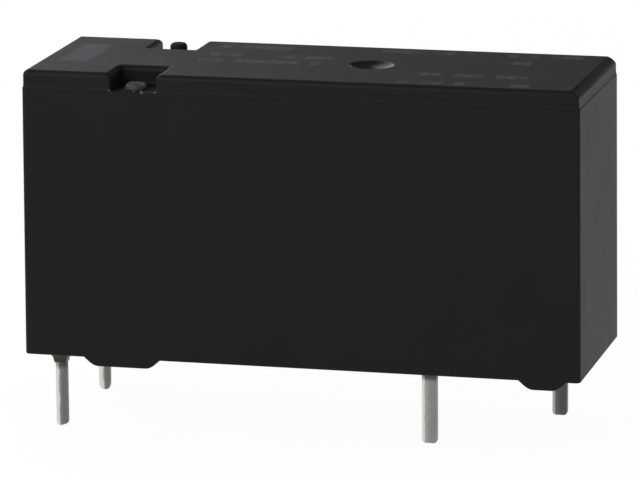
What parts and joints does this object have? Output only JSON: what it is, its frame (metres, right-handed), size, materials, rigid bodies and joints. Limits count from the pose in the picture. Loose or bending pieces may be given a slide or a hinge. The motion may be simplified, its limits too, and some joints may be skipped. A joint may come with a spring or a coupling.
{
  "type": "pcb power relay",
  "caption": "Slim sealed relay for a circuit board: a black box-shaped case on solder pins, holding a coil, a hinged armature, a slide card and a sprung contact.",
  "frame": {"origin": "middle of the board's surface under the case, on the plane of the case's feet", "axes": "+X from the coil end to the contact end, +Y from the front to the back, +Z away from the board"},
  "size_m": [0.0284, 0.01, 0.0185],
  "materials": {
    "case_plastic": "satin moulded",
    "base_plastic": "satin moulded",
    "sealing_resin": "cured resin, semi-gloss",
    "bobbin_plastic": "satin moulded",
    "enamelled_copper": "clear enamel",
    "soft_iron": "dull plated",
    "spring_steel": "rolled",
    "card_plastic": "satin moulded",
    "spring_copper": "rolled",
    "contact_silver": "satin silver alloy",
    "rivet_brass": "as formed",
    "tinned_copper": "bright tin over copper"
  },
  "bodies": {
    "housing": {"case": "case_plastic", "base": "base_plastic", "sealing_resin": "sealing_resin", "bobbin": "bobbin_plastic", "coil_winding": "enamelled_copper", "core": "soft_iron", "yoke": "soft_iron", "hinge_spring": "spring_steel", "spring_rivets": "rivet_brass", "common_terminal": "tinned_copper", "normally_open_terminal": "tinned_copper", "fixed_contact": "contact_silver", "coil_terminal_front": "tinned_copper", "coil_terminal_back": "tinned_copper", "coil_lead_front": "enamelled_copper", "coil_lead_back": "enamelled_copper"},
    "armature": {"armature": "soft_iron"},
    "card": {"actuator_card": "card_plastic"},
    "contact_spring": {"moving_spring": "spring_copper", "moving_contact": "contact_silver"}
  },
  "joints": [
    {"name": "armature_hinge", "type": "hinge", "parent": "housing", "child": "armature", "pos_m": [-0.01141, 0, 0.00275], "axis": [0, 1, 0], "range_deg": [0, 4.52]},
    {"name": "card_slide", "type": "slide", "parent": "housing", "child": "card", "axis": [1, 0, 0], "range_m": [0, 0.0008]},
    {"name": "spring_flex", "type": "hinge", "parent": "housing", "child": "contact_spring", "pos_m": [0.00664, 0, 0.00515], "axis": [0, 1, 0], "range_deg": [0, 5.92], "stiffness_Nm_per_rad": 0.02, "springref_deg": -1.72, "deforming": ["moving_spring"]}
  ],
  "couplings": [
    {"joint": "card_slide", "follows": "armature_hinge", "m_per_rad": 0.01014},
    {"joint": "spring_flex", "follows": "armature_hinge", "ratio": 1.3106}
  ]
}
